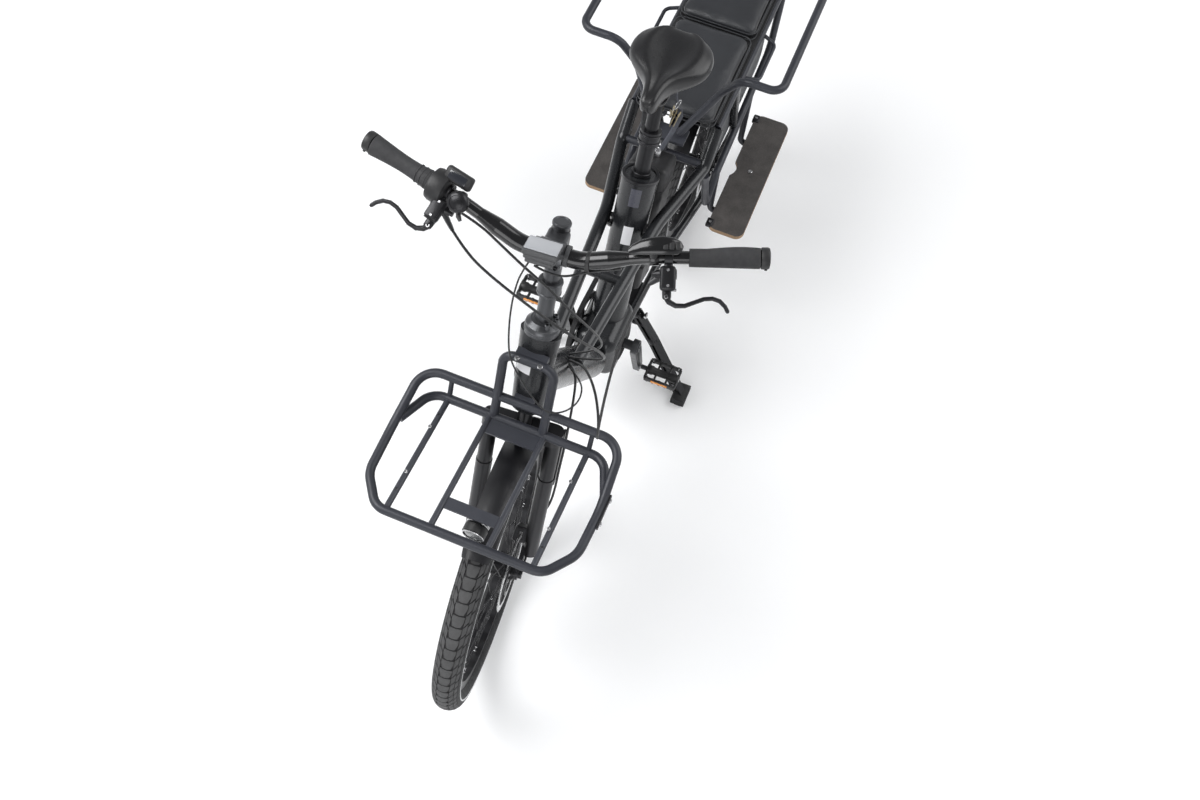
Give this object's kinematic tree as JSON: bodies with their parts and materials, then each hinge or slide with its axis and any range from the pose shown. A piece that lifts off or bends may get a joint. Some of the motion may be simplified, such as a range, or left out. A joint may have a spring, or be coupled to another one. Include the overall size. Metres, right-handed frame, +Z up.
{
  "type": "longtail cargo bike",
  "caption": "Electric cargo bicycle with a long seat pad rack behind the saddle, passenger safety bar, footboards, front carrier and two-legged stand.",
  "frame": {"origin": "on the ground, at the middle of the bike's length and width", "axes": "+X forwards, +Y to the rider's left, +Z up"},
  "size_m": [1.9225, 0.7114, 1.1821],
  "materials": {
    "frame_paint": "dark grey metallic satin powder coat",
    "rack_paint": "dark blue-grey satin powder coat",
    "guard_panel": "mid grey moulded sheet",
    "black_plastic": "fine textured black",
    "screen": "grey housing with a blank dark screen",
    "black_metal": "black anodised",
    "stem_metal": "grey anodised",
    "steel": "brushed",
    "tyre": "black rubber",
    "grip_rubber": "soft black",
    "hose_jacket": "smooth black jacket",
    "belt_rubber": "black toothed belt",
    "saddle_cover": "grained black synthetic leather",
    "pad_vinyl": "smooth mid grey vinyl",
    "footboard_wood": "grey-brown textured plywood",
    "lamp_lens": "red lens in a black housing"
  },
  "bodies": {
    "frame": {"head_tube": "frame_paint", "down_tube": "frame_paint", "drive_unit": "black_plastic", "seat_tube": "frame_paint", "side_tubes": "frame_paint", "stay_left": "frame_paint", "stay_right": "frame_paint", "rack_rails": "rack_paint", "lower_rails": "rack_paint", "rack_deck": "black_plastic", "pad_front": "pad_vinyl", "pad_rear": "pad_vinyl", "seat_post": "black_metal", "saddle": "saddle_cover", "battery": "black_plastic", "belt": "belt_rubber", "brake_rear": "black_metal", "stand_hanger": "black_metal", "footboards": "footboard_wood", "wheel_guards": "guard_panel", "safety_bar": "rack_paint", "safety_bar_foot": "rack_paint", "rear_fender": "black_plastic", "rear_axle": "steel", "rear_lamp": "lamp_lens", "carrier_rim": "rack_paint", "carrier_base": "rack_paint", "carrier_rods": "rack_paint", "carrier_hoop": "rack_paint", "carrier_mount": "black_plastic", "headlamp": "black_plastic"},
    "steering": {"fork": "black_metal", "front_axle": "steel", "stem": "stem_metal", "handlebar": "black_metal", "grips": "grip_rubber", "brake_lever_left": "black_metal", "brake_lever_right": "black_metal", "remote": "black_plastic", "shifter_and_bell": "black_plastic", "display": "screen", "front_fender": "black_plastic", "brake_front": "black_metal", "front_brake_hose": "hose_jacket", "control_hoses": "hose_jacket"},
    "front_wheel": {"tyre_front": "tyre", "wheel_front": "black_metal", "rotor_front": "steel"},
    "rear_wheel": {"tyre_rear": "tyre", "wheel_rear": "black_metal", "rotor_rear": "steel"},
    "crankset": {"crankset": "black_metal"},
    "pedal_left": {"pedal_left": "black_plastic"},
    "pedal_right": {"pedal_right": "black_plastic"},
    "stand": {"stand_legs": "black_metal"}
  },
  "joints": [
    {"name": "steering_turn", "type": "hinge", "parent": "frame", "child": "steering", "pos_m": [0.60424, 0, 0.29685], "axis": [-0.3649, 0, 0.9311], "range_deg": [-55.75, 44.25], "deforming": ["control_hoses", "front_brake_hose"]},
    {"name": "front_wheel_spin", "type": "hinge", "parent": "steering", "child": "front_wheel", "pos_m": [0.64778, 0.00471, 0.31391], "axis": [-0.0933, 0.995, -0.0366], "continuous": true},
    {"name": "rear_wheel_spin", "type": "hinge", "parent": "frame", "child": "rear_wheel", "pos_m": [-0.602, 0, 0.26], "axis": [0, 1, 0], "continuous": true},
    {"name": "crank_spin", "type": "hinge", "parent": "frame", "child": "crankset", "pos_m": [-0.002, 0, 0.277], "axis": [0, 1, 0], "continuous": true},
    {"name": "stand_fold", "type": "hinge", "parent": "frame", "child": "stand", "pos_m": [-0.154, 0, 0.178], "axis": [0, 1, 0], "range_deg": [0, 90]},
    {"name": "pedal_left_spin", "type": "hinge", "parent": "crankset", "child": "pedal_left", "pos_m": [-0.048, 0.152, 0.11334], "axis": [0, 1, 0], "continuous": true},
    {"name": "pedal_right_spin", "type": "hinge", "parent": "crankset", "child": "pedal_right", "pos_m": [0.044, -0.152, 0.44066], "axis": [0, 1, 0], "continuous": true}
  ]
}
